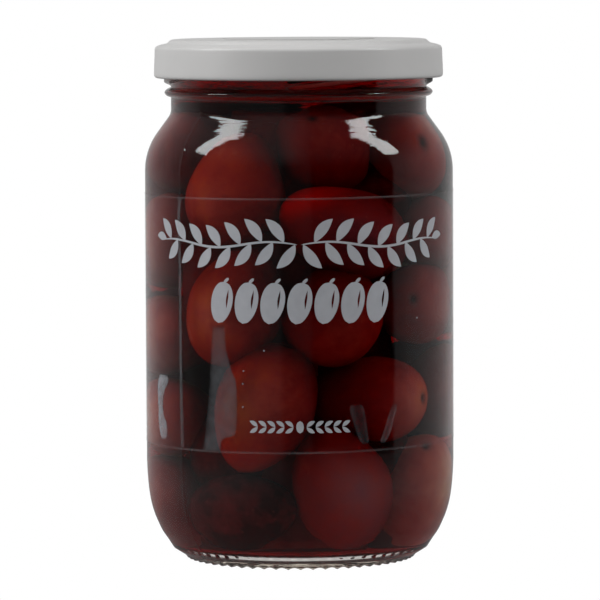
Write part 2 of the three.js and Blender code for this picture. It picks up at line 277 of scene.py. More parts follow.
# Colours between shade 0 and shade 1
OLIVE_SHADES = [(0.2, "#552229"), (0.4, "#641d1b"), (0.55, "#762f25"), (0.7, "#803c20"), (0.85, "#8c5634")]
CORE_RADIUS = 12.0
CORE_SHADE = 0.45
CORE_FOOT = 9.0
CORE_TOP = 103.0
OLIVE_GAP = 0.35
OLIVE_TAPER = 0.1
DIMPLE_DEPTH = 0.9
POINT_HEIGHT = 0.35
UNEVENNESS = 0.016


def linear(hex_colour):
    """Linear red, green, blue and alpha of an sRGB hex colour."""
    channels = [int(hex_colour[start:start + 2], 16) / 255 for start in (1, 3, 5)]
    return [c / 12.92 if c <= 0.04045 else ((c + 0.055) / 1.055) ** 2.4 for c in channels] + [1.0]


def scale_of(size):
    """Scale of a pattern, in features to a metre, whose features are a size in millimetres apart."""
    return 1 / (size * MM)


def smooth_through(points, steps):
    """Catmull-Rom curve: between two points, a cubic whose slopes come from the points on either side."""
    points = np.array(points, float)
    padded = np.vstack([2 * points[0] - points[1], points, 2 * points[-1] - points[-2]])
    along = np.linspace(0, len(points) - 1, steps)
    first = np.clip(along.astype(int), 0, len(points) - 2)
    part = (along - first)[:, None]
    before, start, end, after = (padded[first + shift] for shift in range(4))
    return 0.5 * (2 * start + (end - before) * part
                  + (2 * before - 5 * start + 4 * end - after) * part ** 2
                  + (3 * start - before - 3 * end + after) * part ** 3)


def straight_between(start, end, steps):
    """Evenly spaced points on a straight line, without its last point."""
    part = np.linspace(0, 1, steps, endpoint=False)[:, None]
    return np.array(start) * (1 - part) + np.array(end) * part


def smoothstep(value, low, high):
    """0 below low, 1 above high and 3t^2 - 2t^3 between them."""
    part = np.clip((value - low) / (high - low), 0, 1)
    return part * part * (3 - 2 * part)


def grid_faces(rows, columns, closed_round):
    """Quads of a grid of corners numbered row by row. closed_round joins the last column to the first."""
    row = np.arange(rows - 1)[:, None]
    column = np.arange(columns if closed_round else columns - 1)[None, :]
    following = (column + 1) % columns
    corners = [row * columns + column, row * columns + following,
               (row + 1) * columns + following, (row + 1) * columns + column]
    return np.stack(np.broadcast_arrays(*corners), -1).reshape(-1, 4)


def make_piece(name, places, faces, materials, attributes=None, which=None, smooth=True):
    """A mesh object at the origin from places in millimetres, with coincident corners merged.

    materials is one material, or a list of them with which giving each face's place in the list.
    """
    mesh = bpy.data.meshes.new(name)
    mesh.from_pydata((places.reshape(-1, 3) * MM).tolist(), [], faces.tolist())
    for material in materials if isinstance(materials, list) else [materials]:
        mesh.materials.append(material)
    if which is not None:
        mesh.polygons.foreach_set("material_index", np.asarray(which, np.int32))
    for key, values in (attributes or {}).items():
        layer = mesh.attributes.new(key, "FLOAT", "POINT")
        layer.data.foreach_set("value", np.asarray(values, np.float32).ravel())
    shell = bmesh.new()
    shell.from_mesh(mesh)
    bmesh.ops.remove_doubles(shell, verts=shell.verts, dist=1e-7)
    shell.to_mesh(mesh)
    shell.free()
    mesh.polygons.foreach_set("use_smooth", np.full(len(mesh.polygons), smooth))
    piece = bpy.data.objects.new(name, mesh)
    bpy.context.collection.objects.link(piece)
    return piece


def turn(profile, azimuths, radii=None, heights=None):
    """A profile of radius and height carried round the Z axis, as rows by azimuths by three."""
    radii = profile[:, :1] + np.zeros(len(azimuths)) if radii is None else radii
    heights = profile[:, 1:] + np.zeros(len(azimuths)) if heights is None else heights
    return np.stack([radii * np.sin(azimuths), -radii * np.cos(azimuths), heights], -1)


def add_node(tree, kind, inputs=None, **settings):
    """A node with its settings, its input values and its links."""
    node = tree.nodes.new(kind)
    for key, value in settings.items():
        setattr(node, key, value)
    for key, value in (inputs or {}).items():
        if isinstance(value, bpy.types.NodeSocket):
            tree.links.new(value, node.inputs[key])
        else:
            node.inputs[key].default_value = value
    return node


def new_material(name):
    """An empty node material and its tree."""
    material = bpy.data.materials.new(name)
    material.use_nodes = True
    material.node_tree.nodes.clear()
    return material, material.node_tree


def let_lamps_through(tree, surface):
    """The same surface, but open to the lamps' own rays, so that they light what it holds."""
    ray = add_node(tree, "ShaderNodeLightPath").outputs["Is Shadow Ray"]
    opening = add_node(tree, "ShaderNodeBsdfTransparent")
    return add_node(tree, "ShaderNodeMixShader", {0: ray, 1: surface.outputs[0], 2: opening.outputs[0]})


def finish_material(tree, surface, volume=None):
    """Links a surface, and a volume where there is one, to the output."""
    links = {"Surface": surface.outputs[0]}
    if volume:
        links["Volume"] = volume.outputs[0]
    add_node(tree, "ShaderNodeOutputMaterial", links)


def soda_lime_glass(name, index, tinted):
    """Soda-lime glass, blown in a mould: clear with a breath of green, and a finely rippled skin.

    The ripples are 5.6 mm wide, 0.77 mm high and strongest on the neck. The slow swell is 11.1 mm across.
    """
    material, tree = new_material(name)
    place = add_node(tree, "ShaderNodeTexCoord").outputs["Object"]
    stretched = add_node(tree, "ShaderNodeMapping", {
        "Vector": place, "Scale": (scale_of(5.556), scale_of(5.556), scale_of(0.7692))})
    ripple = add_node(tree, "ShaderNodeTexNoise", {
        "Vector": stretched.outputs[0], "Scale": 1.0, "Detail": 2.0})
    swell = add_node(tree, "ShaderNodeTexNoise", {"Vector": place, "Scale": scale_of(11.11), "Detail": 1.0})
    height = add_node(tree, "ShaderNodeSeparateXYZ", {"Vector": place}).outputs["Z"]
    above = add_node(tree, "ShaderNodeMapRange", {
        "Value": height, "From Min": 94 * MM, "From Max": 102 * MM, "To Min": 0.04, "To Max": 0.35})
    wrinkled = add_node(tree, "ShaderNodeMath", {0: ripple.outputs[0], 1: above.outputs[0]},
                        operation="MULTIPLY")
    fine = add_node(tree, "ShaderNodeBump", {
        "Height": wrinkled.outputs[0], "Strength": 1.0, "Distance": 0.2 * MM})
    relief = add_node(tree, "ShaderNodeBump", {
        "Height": swell.outputs[0], "Strength": 0.1, "Distance": 1 * MM, "Normal": fine.outputs[0]})
    glass = add_node(tree, "ShaderNodeBsdfPrincipled", {
        "Base Color": linear("#fafaf8"), "Roughness": 0.0, "IOR": index, "Transmission Weight": 1.0,
        "Normal": relief.outputs[0]})
    tint = None
    if tinted:
        tint = add_node(tree, "ShaderNodeVolumeAbsorption", {"Color": linear("#dedac2"), "Density": 18.0})
    finish_material(tree, let_lamps_through(tree, glass), tint)
    return material


def dark_brine():
    """Salt water coloured by the olives: clear, red where it is thin and nearly black where it is deep.

    Its IOR is 1, because the glass's wet inner wall already bends the light as much as glass against water.
    """
    material, tree = new_material("red_olive_brine")
    liquid = add_node(tree, "ShaderNodeBsdfPrincipled", {
        "Base Color": linear("#ffffff"), "Roughness": 0.0, "IOR": 1.0, "Transmission Weight": 1.0})
    depth = add_node(tree, "ShaderNodeVolumeAbsorption", {"Color": linear("#ea3b1c"), "Density": 212.3})
    finish_material(tree, let_lamps_through(tree, liquid), depth)
    return material


def olive_skin():
    """Ripe cured olive skin: dark red brown, each olive its own shade, mottled, with small pale pores.

    The mottling is 7 mm across. The pores are 2.3 mm apart, coarser than real ones, so that they show.
    Wet in brine the skin has no gloss of its own. Some olives carry a painted red glow on one edge: painted
    light.
    """
    material, tree = new_material("cured_olive_skin")
    place = add_node(tree, "ShaderNodeTexCoord").outputs["Object"]
    shade = add_node(tree, "ShaderNodeAttribute", attribute_name="shade").outputs["Fac"]
    rim = add_node(tree, "ShaderNodeAttribute", attribute_name="rim").outputs["Fac"]
    scar = add_node(tree, "ShaderNodeAttribute", attribute_name="scar").outputs["Fac"]
    mottle = add_node(tree, "ShaderNodeTexNoise", {
        "Vector": place, "Scale": scale_of(7.143), "Detail": 6.0, "Roughness": 0.65})
    drift = add_node(tree, "ShaderNodeMapRange", {
        "Value": mottle.outputs[0], "From Min": 0.3, "From Max": 0.7, "To Min": -0.13, "To Max": 0.13})
    mixed = add_node(tree, "ShaderNodeMath", {0: drift.outputs[0], 1: shade}, operation="ADD")
    ramp = add_node(tree, "ShaderNodeValToRGB", {"Fac": mixed.outputs[0]})
    colours = ramp.color_ramp
    colours.elements[0].color = linear("#280f12")
    colours.elements[1].color = linear("#a1775b")
    for position, colour in OLIVE_SHADES:
        colours.elements.new(position).color = linear(colour)
    # The rim attribute mixes in a painted red glow: painted light on some olives' edges, not a colour of the
    # skin.
    painted_glow_mix = add_node(tree, "ShaderNodeMix", {
        "Factor": rim, "A": ramp.outputs[0], "B": linear("#9c1a0d")}, data_type="RGBA")
    pores = add_node(tree, "ShaderNodeTexVoronoi", {"Vector": place, "Scale": scale_of(2.3256)})
    pore_dot = add_node(tree, "ShaderNodeMapRange", {
        "Value": pores.outputs["Distance"], "From Min": 0.04, "From Max": 0.12, "To Min": 0.2, "To Max": 0.0})
    spotted = add_node(tree, "ShaderNodeMix", {
        "Factor": pore_dot.outputs[0], "A": painted_glow_mix.outputs["Result"], "B": linear("#8f5a45")},
        data_type="RGBA")
    scarred = add_node(tree, "ShaderNodeMix", {
        "Factor": scar, "A": spotted.outputs["Result"], "B": linear("#150707")}, data_type="RGBA")
    relief = add_node(tree, "ShaderNodeBump", {
        "Height": mottle.outputs[0], "Strength": 0.3, "Distance": 0.5 * MM})
    skin = add_node(tree, "ShaderNodeBsdfPrincipled", {
        "Base Color": scarred.outputs["Result"], "Roughness": 0.45, "IOR": 1.45, "Specular IOR Level": 0.0,
        "Normal": relief.outputs[0]})
    finish_material(tree, skin)
    return material


def white_enamel():
    """White enamel stoved on tinplate: smooth, semi-gloss, with the faintest orange peel, 1.4 mm across."""
    material, tree = new_material("white_enamel_on_tinplate")
    place = add_node(tree, "ShaderNodeTexCoord").outputs["Object"]
    peel = add_node(tree, "ShaderNodeTexNoise", {"Vector": place, "Scale": scale_of(1.4286), "Detail": 2.0})
    cloud = add_node(tree, "ShaderNodeTexNoise", {"Vector": place, "Scale": scale_of(16.667), "Detail": 3.0})
    tone = add_node(tree, "ShaderNodeMix", {
        "Factor": cloud.outputs[0], "A": linear("#e2e1e0"), "B": linear("#ebeae9")}, data_type="RGBA")
    relief = add_node(tree, "ShaderNodeBump", {
        "Height": peel.outputs[0], "Strength": 0.1, "Distance": 0.1 * MM})
    enamel = add_node(tree, "ShaderNodeBsdfPrincipled", {
        "Base Color": tone.outputs["Result"], "Roughness": 0.32, "IOR": 1.5, "Normal": relief.outputs[0]})
    finish_material(tree, enamel)
    return material


def clear_film():
    """Clear plastic film, glued on: unseen but for its gloss at the sides and its pale, uneven cut edges.

    The unevenness is 9.1 mm wide and 0.91 mm high.
    """
    material, tree = new_material("clear_plastic_film")
    edge = add_node(tree, "ShaderNodeAttribute", attribute_name="edge").outputs["Fac"]
    veil = add_node(tree, "ShaderNodeMapRange", {"Value": edge, "To Min": 0.0, "To Max": 0.07})
    place = add_node(tree, "ShaderNodeTexCoord").outputs["Object"]
    stretched = add_node(tree, "ShaderNodeMapping", {
        "Vector": place, "Scale": (scale_of(9.091), scale_of(9.091), scale_of(0.9091))})
    ripple = add_node(tree, "ShaderNodeTexNoise", {
        "Vector": stretched.outputs[0], "Scale": 1.0, "Detail": 3.0})
    streaks = add_node(tree, "ShaderNodeMapRange", {
        "Value": ripple.outputs[0], "From Min": 0.35, "From Max": 0.65, "To Min": 0.6, "To Max": 1.3})
    cloudy = add_node(tree, "ShaderNodeMath", {0: veil.outputs[0], 1: streaks.outputs[0]},
                      operation="MULTIPLY")
    haze = add_node(tree, "ShaderNodeBsdfPrincipled", {
        "Base Color": linear("#b9b4b6"), "Roughness": 0.3, "IOR": 1.5, "Alpha": cloudy.outputs[0]})
    gloss = add_node(tree, "ShaderNodeBsdfGlossy", {"Color": linear("#ffffff"), "Roughness": 0.15})
    facing = add_node(tree, "ShaderNodeLayerWeight", {"Blend": 0.5}).outputs["Facing"]
    grazing = add_node(tree, "ShaderNodeMath", {0: facing, 1: 5.0}, operation="POWER").outputs[0]
    mirror = add_node(tree, "ShaderNodeMapRange", {"Value": grazing, "To Min": 0.0, "To Max": 0.12})
    film = add_node(tree, "ShaderNodeMixShader", {
        0: mirror.outputs[0], 1: haze.outputs[0], 2: gloss.outputs[0]})
    finish_material(tree, film)
    return material


def paste_haze_and_painted_reflection():
    """Dried label paste and trapped air under clear film: a pale milkiness, grained 2 mm, that fades out. One
    band of it, left of the front, is a painted reflection.
    """
    material, tree = new_material("label_paste_and_painted_reflection")
    strength = add_node(tree, "ShaderNodeAttribute", attribute_name="strength").outputs["Fac"]
    place = add_node(tree, "ShaderNodeTexCoord").outputs["Object"]
    grain = add_node(tree, "ShaderNodeTexNoise", {"Vector": place, "Scale": scale_of(2.0), "Detail": 3.0})
    uneven = add_node(tree, "ShaderNodeMapRange", {
        "Value": grain.outputs[0], "From Min": 0.3, "From Max": 0.7, "To Min": 0.7, "To Max": 1.2})
    alpha = add_node(tree, "ShaderNodeMath", {0: strength, 1: uneven.outputs[0]}, operation="MULTIPLY")
    haze = add_node(tree, "ShaderNodeBsdfPrincipled", {
        "Base Color": linear("#c9cbd2"), "Roughness": 0.5, "IOR": 1.5, "Specular IOR Level": 0.1,
        "Alpha": alpha.outputs[0]})
    finish_material(tree, haze)
    return material


def silver_ink():
    """Silver grey screen ink on the film: opaque, matt, and uneven in patches of 2.5 mm."""
    material, tree = new_material("silver_grey_screen_ink")
    place = add_node(tree, "ShaderNodeTexCoord").outputs["Object"]
    grain = add_node(tree, "ShaderNodeTexNoise", {"Vector": place, "Scale": scale_of(2.5), "Detail": 3.0})
    tone = add_node(tree, "ShaderNodeMix", {
        "Factor": grain.outputs[0], "A": linear("#bdbfc6"), "B": linear("#d2d4da")}, data_type="RGBA")
    ink = add_node(tree, "ShaderNodeBsdfPrincipled", {
        "Base Color": tone.outputs["Result"], "Roughness": 0.5, "Metallic": 0.2})
    finish_material(tree, ink)
    return material


def inner_radius(height):
    """Radius of the jar's inner wall above the heel: the body's, easing in to the neck's by a smoothstep."""
    part = smoothstep(height, BODY_TOP + 0.5, NECK_FOOT)
    return (BODY_RADIUS - WALL) * (1 - part) + (NECK_RADIUS - NECK_WALL) * part


def inside_profile():
    """The jar's inside from the middle of its floor, round the heel and up to the foot of the neck."""
    floor = smooth_through(FLOOR_INSIDE, 16)[:-1]
    heel = smooth_through(HEEL_INSIDE, 24)[:-1]
    body = straight_between(HEEL_INSIDE[-1], (BODY_RADIUS - WALL, BODY_TOP), 10)
    height = np.linspace(BODY_TOP, NECK_FOOT, 22)
    shoulder = np.stack([inner_radius(height), height], -1)
    return np.vstack([floor, heel, body, shoulder])


def outside_profile():
    """The jar's outside from the middle of its foot: push-up, ring, chamfer, heel, body, shoulder, neck."""
    foot = smooth_through(PUSH_UP, 14)[:-1]
    ring = straight_between(RING_INNER, RING_OUTER, 6)
    chamfer = straight_between(RING_OUTER, CHAMFER_TOP, 6)
    heel = smooth_through(HEEL_OUTSIDE, 28)[:-1]
    body = straight_between((BODY_RADIUS, HEEL_TOP), (BODY_RADIUS, BODY_TOP), 10)
    return np.vstack([foot, ring, chamfer, heel, body, shoulder_profile()])


def shoulder_profile():
    """A convex arc off the body, a straight slope and a concave arc into the neck, tangent to each other."""
    lean = math.radians(SHOULDER_LEAN)
    turned = np.linspace(0, lean, 24)
    start = np.array([BODY_RADIUS - SHOULDER_ARC, SHOULDER_FOOT])
    convex = start + SHOULDER_ARC * np.stack([np.cos(turned), np.sin(turned)], -1)
    inset = NECK_ARC * (1 - math.cos(lean))
    slope = (convex[-1, 0] - NECK_RADIUS - inset) / math.tan(lean)
    end = np.array([NECK_RADIUS + NECK_ARC, convex[-1, 1] + slope + NECK_ARC * math.sin(lean)])
    turned = np.linspace(lean, 0, 12)
    concave = end - NECK_ARC * np.stack([np.cos(turned), np.sin(turned)], -1)
    between = straight_between(convex[-1], concave[0], 6)[1:]
    return np.vstack([straight_between((BODY_RADIUS, BODY_TOP), (BODY_RADIUS, SHOULDER_FOOT), 2),
                      convex, between, concave])


def finish_profile():
    """The neck, the bead, the lug zone and the rounded rim, then down the inside of the neck."""
    neck = straight_between((NECK_RADIUS, NECK_FOOT + 0.8), (NECK_RADIUS, BEAD_HEIGHT - BEAD_HALF), 3)
    bead = smooth_through([
        (NECK_RADIUS, BEAD_HEIGHT - 1.1), (BEAD_RADIUS - 0.5, BEAD_HEIGHT - 0.75), (BEAD_RADIUS, BEAD_HEIGHT),
        (BEAD_RADIUS - 0.5, BEAD_HEIGHT + 0.7), (NECK_RADIUS, BEAD_HEIGHT + BEAD_HALF)], 14)[:-1]
    lugs = straight_between((NECK_RADIUS, BEAD_HEIGHT + BEAD_HALF), (NECK_RADIUS, RIM_HEIGHT - RIM_ROUND), 34)
    angle = np.linspace(0, math.pi, 12)
    rim = np.stack([NECK_RADIUS - RIM_ROUND + RIM_ROUND * np.cos(angle),
                    RIM_HEIGHT - RIM_ROUND + RIM_ROUND * np.sin(angle)], -1)
    inside = straight_between((NECK_RADIUS - NECK_WALL, RIM_HEIGHT - RIM_ROUND - 0.15),
                              (NECK_RADIUS - NECK_WALL, NECK_FOOT), NECK_INSIDE_ROWS)
    return np.vstack([neck, bead, lugs, rim, inside])


def lug_rise(azimuths, heights):
    """How far the lugs stand out: each a rounded ridge along a line that climbs, faded at its ends.

    Across the line the ridge follows e to the power of minus the fourth power of the distance.
    """
    rise = np.zeros(np.broadcast(azimuths, heights).shape)
    for lug in range(LUGS):
        start = math.radians(LUG_START + lug * 360 / LUGS)
        along = np.mod(azimuths - start, 2 * math.pi) / math.radians(LUG_SPAN)
        middle = LUG_LOW + (LUG_HIGH - LUG_LOW) * along
        ends = smoothstep(along, 0, 0.12) * (1 - smoothstep(along, 0.85, 1))
        rise += LUG_REACH * ends * np.exp(-((heights - middle) / 0.85) ** 4)
    return rise


def seam_rise(azimuths):
    """The fine ridge where the mould's halves met, on both sides of the jar: a bell curve across the seam."""
    seam = math.radians(SEAM_AZIMUTH)
    off = np.mod(azimuths - seam + math.pi / 2, math.pi) - math.pi / 2
    return SEAM_RISE * np.exp(-(off * BODY_RADIUS / SEAM_WIDTH) ** 2)


def jar_azimuths():
    """Even columns, the same number to each foot ridge, and a few more close to the two seams."""
    even = np.arange(RIDGES * RIDGE_COLUMNS) * 2 * math.pi / (RIDGES * RIDGE_COLUMNS)
    near = np.array(SEAM_COLUMNS) / BODY_RADIUS
    seam = math.radians(SEAM_AZIMUTH)
    return np.sort(np.mod(np.concatenate([even, seam + near, seam + math.pi + near]), 2 * math.pi))


def make_jar():
    """The whole jar: the outside, the finish and the inside turned, then ridged, lugged and seamed."""
    outside, finish, inside = outside_profile(), finish_profile(), inside_profile()[::-1]
    profile = np.vstack([outside, finish, inside])
    azimuths = jar_azimuths()
    radii = profile[:, :1] + np.zeros(len(azimuths))
    heights = profile[:, 1:] + np.zeros(len(azimuths))
    turned_in = len(outside) + len(finish) - NECK_INSIDE_ROWS
    is_outside = np.arange(len(profile))[:, None] < turned_in
    begin, whole, fade, end = RIDGE_BAND
    ridge_zone = smoothstep(radii, begin, whole) * (1 - smoothstep(radii, fade, end))
    ridge_zone = ridge_zone * (heights < 3)
    valley = RIDGE_HEIGHT * np.abs(np.sin(RIDGES / 2 * azimuths))
    heights = heights - ridge_zone * (RIDGE_HEIGHT - valley)
    on_lugs = is_outside & (heights > BEAD_HEIGHT + BEAD_HALF) & (radii > NECK_RADIUS - 0.5)
    radii = radii + np.where(on_lugs, lug_rise(azimuths[None, :], heights), 0)
    on_body = is_outside & (heights > 1.5) & (heights < NECK_FOOT)
    radii = radii + np.where(on_body, seam_rise(azimuths)[None, :], 0) * (radii > 20)
    faces = grid_faces(len(profile), len(azimuths), True)
    wet = (np.arange(len(profile) - 1) >= turned_in) & (profile[:-1, 1] < LEVEL)
    glasses = [soda_lime_glass("soda_lime_glass_blown", GLASS_INDEX, True),
               soda_lime_glass("soda_lime_glass_wet", GLASS_INDEX / BRINE_INDEX, False)]
    jar = make_piece("jar_glass", turn(profile, azimuths, radii, heights), faces, glasses,
                     which=np.repeat(wet, len(azimuths)))
    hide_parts("glass_jar")
    return jar


def make_brine():
    """The liquid: the jar's inside, reaching just into the wall, up to a level with a rim that creeps up."""
    inside = inside_profile() + np.array([INTO_WALL, -INTO_WALL * 0.5])
    inside[0, 0] = 0
    bore = NECK_RADIUS - NECK_WALL
    neck = straight_between((bore + INTO_WALL, NECK_FOOT), (bore + INTO_WALL, LEVEL + CREEP + 0.1), 8)
    top = smooth_through([(bore, LEVEL + CREEP), (bore - 1.25, LEVEL + 0.05), (23, LEVEL), (0, LEVEL)], 12)
    profile = np.vstack([inside[:-1], neck, top])
    azimuths = np.linspace(0, 2 * math.pi, 180, endpoint=False)
    places = turn(profile, azimuths)
    brine = make_piece("brine", places, grid_faces(len(profile), len(azimuths), True), dark_brine())
    return brine


def chance(number):
    """A fixed fraction between 0 and 1 for a whole number: what follows the point of a steep sine."""
    wave = math.sin(number * 12.9898) * 43758.5453
    return wave - math.floor(wave)


def all_olives():
    """Every olive's row with its inset replaced by the distance of its middle from the jar's axis.

    That distance is the inner wall's radius less the gap, the inset and half the olive's depth.
    """
    olives = []
    for azimuth, height, length, width, lean, tilt, inset, *colour in FRONT_OLIVES + BACK_OLIVES:
        slope = math.radians(tilt)
        depth = math.hypot(length / 2 * math.sin(slope), width / 2 * math.cos(slope))
        reach = float(inner_radius(height + length / 4)) - OLIVE_GAP - depth - inset
        olives.append((azimuth, height, length, width, lean, tilt, reach, *colour))
    return olives


def rotation(axis, degrees):
    """Matrix of cosines and sines that turns places about one axis, 0 for X, 1 for Y and 2 for Z."""
    angle = math.radians(degrees)
    one, other = [(1, 2), (2, 0), (0, 1)][axis]
    matrix = np.eye(3)
    matrix[one, one] = matrix[other, other] = math.cos(angle)
    matrix[other, one] = math.sin(angle)
    matrix[one, other] = -math.sin(angle)
    return matrix


def olive_surface(number, length, width, rows=40, columns=48):
    """An olive upright about its own middle.

    Along the axis the radius follows a sine, narrower towards the top by a tenth. The top ends in a small
    point and the bottom has a round dimple, where the stalk was. Three slow waves make it uneven.
    """
    polar = np.linspace(math.pi, 0, rows)[:, None]
    around = np.linspace(0, 2 * math.pi, columns, endpoint=False)[None, :]
    along = np.cos(polar)
    breadth = np.sin(polar) * (1 - OLIVE_TAPER * along) * (1 - OLIVE_TAPER / 2 * along ** 2)
    waves = sum(UNEVENNESS * np.sin((wave + 1) * around + 6.3 * chance(number * 7 + wave)
                                    + 2.5 * along * (1 + chance(number * 11 + wave)))
                for wave in range(3))
    breadth = breadth * (1 + waves * np.sin(polar))
    dimple = np.exp(-(np.sin(polar) / 0.1) ** 2) * (along < 0)
    point = np.exp(-(np.sin(polar) / 0.09) ** 2) * (along > 0)
    lift = along * length / 2 + dimple * DIMPLE_DEPTH + point * POINT_HEIGHT
    places = np.stack(np.broadcast_arrays(
        breadth * width / 2 * np.cos(around), breadth * width / 2 * np.sin(around), lift), -1)
    scar = np.broadcast_to(np.exp(-(np.sin(polar) / 0.13) ** 2) * (along < 0), places.shape[:2])
    return places, scar


def olive_core():
    """The heap's plain core: a smooth profile turned about the axis into a rounded post."""
    shoulder = CORE_RADIUS * 0.8
    profile = smooth_through([
        (0, CORE_FOOT), (shoulder, CORE_FOOT + 1), (CORE_RADIUS, CORE_FOOT + 6),
        (CORE_RADIUS, CORE_TOP - 6), (shoulder, CORE_TOP - 1), (0, CORE_TOP)], 24)
    return turn(profile, np.linspace(0, 2 * math.pi, 24, endpoint=False))


def make_olives():
    """All olives in one mesh, each leaned, tilted and set against the wall as its row says, and the core."""
    all_places, all_faces, shades, painted_glow_rims, scars = [], [], [], [], []
    start = 0
    for number, row in enumerate(all_olives()):
        azimuth, height, length, width, lean, tilt, reach, shade, way, change, painted_glow = row
        places, scar = olive_surface(number, length, width)
        places = places @ (rotation(1, lean) @ rotation(0, tilt)).T
        way = math.radians(way)
        lighter = (places[..., 0] * math.sin(way) + places[..., 2] * math.cos(way)) / (width / 2)
        shades.append((shade + change * lighter).ravel())
        # A painted red glow on the edge towards the lighter side, as strong as the row's last number: painted
        # light.
        painted_glow_rims.append((painted_glow * smoothstep(lighter, 0.7, 1.15)).ravel())
        places = (places + np.array([0, -reach, 0])) @ rotation(2, azimuth).T + np.array([0, 0, height])
        rows, columns = places.shape[:2]
        all_places.append(places.reshape(-1, 3))
        all_faces.append(grid_faces(rows, columns, True) + start)
        scars.append(scar.ravel())
        start += rows * columns
    core = olive_core()
    rows, columns = core.shape[:2]
    all_places.append(core.reshape(-1, 3))
    all_faces.append(grid_faces(rows, columns, True) + start)
    shades.append(np.full(rows * columns, CORE_SHADE))
    painted_glow_rims.append(np.zeros(rows * columns))
    scars.append(np.zeros(rows * columns))
    olives = make_piece("olives_whole", np.vstack(all_places), np.vstack(all_faces), olive_skin(),
                        {"shade": np.concatenate(shades), "rim": np.concatenate(painted_glow_rims),
                         "scar": np.concatenate(scars)})
    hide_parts("olives")
    return olives


def make_lid():
    """The lid's sheet, turned: out along the inside, round the curl, up the skirt, over the ring and in."""
    panel = LID_TOP - PLATEAU_RISE
    seal = RIM_HEIGHT + 0.3
    skirt_inside = LID_RADIUS - SKIRT_LEAN - SHEET
    inside = np.array([
        (0, LID_TOP - SHEET), (PLATEAU_RADIUS - 1, LID_TOP - SHEET), (PLATEAU_RADIUS + 0.5, panel - SHEET),
        (26.9, panel - SHEET), (27.4, seal), (32.2, seal), (skirt_inside, seal - 0.7),
        (skirt_inside, LID_BOTTOM + 1.8), (32, LID_BOTTOM + 1.3)])
    curl = smooth_through([
        (32, LID_BOTTOM + 1.3), (32, LID_BOTTOM + 0.5), (32.35, LID_BOTTOM + 0.08), (32.9, LID_BOTTOM),
        (33.35, LID_BOTTOM + 0.16), (33.6, LID_BOTTOM + 0.55), (LID_RADIUS, LID_BOTTOM + 1.2)], 22)[1:]
    skirt = straight_between((LID_RADIUS, LID_BOTTOM + 1.3), (LID_RADIUS - SKIRT_LEAN, 118.5), 5)
    crown = smooth_through(LID_CROWN + [(PANEL_RADIUS, panel)], 40)
    flat = straight_between((PANEL_RADIUS - 0.3, panel), (PLATEAU_RADIUS + 0.7, panel), 4)
    plateau = smooth_through([
        (PLATEAU_RADIUS + 0.6, panel), (PLATEAU_RADIUS + 0.2, panel + 0.03),
        (PLATEAU_RADIUS - 0.2, LID_TOP - 0.03), (PLATEAU_RADIUS - 0.6, LID_TOP), (10, LID_TOP),
        (0, LID_TOP)], 20)
    profile = np.vstack([inside, curl, skirt, crown, flat, plateau])
    azimuths = np.linspace(0, 2 * math.pi, LID_COLUMNS, endpoint=False)
    lid = make_piece("lid_enamel", turn(profile, azimuths), grid_faces(len(profile), LID_COLUMNS, True),
                     white_enamel())
    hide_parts("lid")
    return lid


def film_height(part, azimuths):
    """Height on the film, part 0 at its lower edge and 1 at its upper, tilted by a sine of the azimuth."""
    return FILM_FOOT + part * (FILM_TOP - FILM_FOOT) + FILM_TILT * np.sin(azimuths)


def film_radius(azimuths):
    """Radius of the film's inner face: it hugs the jar, and lifts as a bell curve over the mould's seam."""
    off = (azimuths - math.radians(SEAM_AZIMUTH)) * BODY_RADIUS
    return FILM_RADIUS + TENT_RISE * np.exp(-(off / TENT_WIDTH) ** 2)


def laid_on_film(line, left, right, columns=5):
    """A thin closed shape laid on the film, as rows along a line by columns across and back underneath.

    The line is in millimetres round the film and up. From it the shape spans left to right, square to it.
    """
    slope = np.gradient(line, axis=0)
    square = np.stack([slope[:, 1], -slope[:, 0]], -1) / np.linalg.norm(slope, axis=1)[:, None]
    part = np.concatenate([np.linspace(0, 1, columns), np.linspace(1, 0, columns)])
    across = left[:, None] + (right - left)[:, None] * part
    flat = line[:, None, :] + square[:, None, :] * across[..., None]
    azimuths = flat[..., 0] / FILM_RADIUS
    radii = film_radius(azimuths) + FILM_THICKNESS + np.repeat([INK_ABOVE, INK_BELOW], columns)
    return np.stack([radii * np.sin(azimuths), -radii * np.cos(azimuths), flat[..., 1]], -1)


def leaf(foot, length, width, degrees, steps=13):
    """A lens: its half width follows sin(pi t) to the power 0.85 along its axis, which bends a little."""
    part = np.linspace(0, 1, steps)
    angle = math.radians(degrees)
    bend = 0.07 * length * np.sin(math.pi * part) * (1 if math.cos(angle) * math.sin(angle) >= 0 else -1)
    axis = np.stack([part * length * math.cos(angle) - bend * math.sin(angle),
                     part * length * math.sin(angle) + bend * math.cos(angle)], -1) + np.array(foot)
    half = width / 2 * np.sin(math.pi * part) ** 0.85
    return laid_on_film(axis, -half, half)


def stem(line, width):
    """A thin line whose half width follows sin(pi t) to the power 0.3, so that both ends run out."""
    half = width / 2 * np.sin(math.pi * np.linspace(0, 1, len(line))) ** 0.3
    return laid_on_film(line, -half, half, 3)


